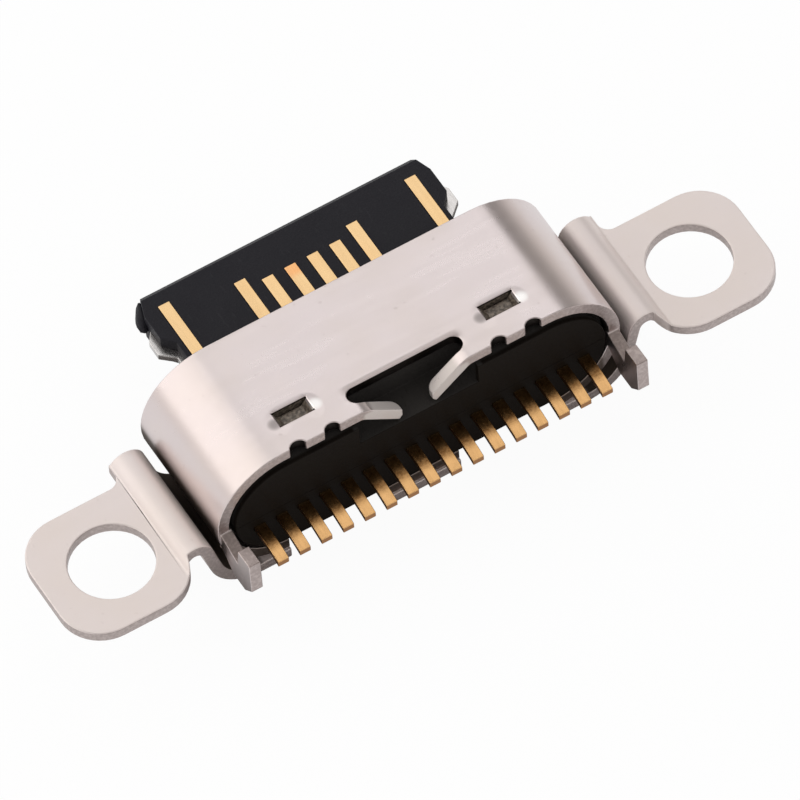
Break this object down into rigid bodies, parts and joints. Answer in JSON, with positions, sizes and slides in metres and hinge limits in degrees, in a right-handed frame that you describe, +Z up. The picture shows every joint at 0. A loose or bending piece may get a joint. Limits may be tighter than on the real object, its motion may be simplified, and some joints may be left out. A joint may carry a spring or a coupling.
{
  "type": "charging port",
  "caption": "Short receptacle shell with a bare double-sided contact tongue, rear solder tails and a bent sheet bracket with two screw ears, for charging and data.",
  "frame": {"origin": "midway between the two ear holes, on the ears' underside", "axes": "+X along the line of the ear holes, +Y out of the mouth along the tongue, +Z up, away from the saddle under the shell"},
  "size_m": [0.0158, 0.0065, 0.0033],
  "materials": {
    "nickel_sheet": "dull nickel plate",
    "black_plastic": "moulded, matte",
    "plate_steel": "plain stainless",
    "gold_contact": "thin gold plate"
  },
  "bodies": {
    "root": {"shell": "nickel_sheet", "mounting_bracket": "nickel_sheet", "upper_insulator": "black_plastic", "lower_insulator": "black_plastic", "tongue_overmould": "black_plastic", "mid_plate": "plate_steel", "contact_a1": "gold_contact", "contact_a4": "gold_contact", "contact_a5": "gold_contact", "contact_a6": "gold_contact", "contact_a7": "gold_contact", "contact_a8": "gold_contact", "contact_a9": "gold_contact", "contact_a12": "gold_contact", "contact_b1": "gold_contact", "contact_b4": "gold_contact", "contact_b5": "gold_contact", "contact_b6": "gold_contact", "contact_b7": "gold_contact", "contact_b8": "gold_contact", "contact_b9": "gold_contact", "contact_b12": "gold_contact"}
  },
  "joints": []
}
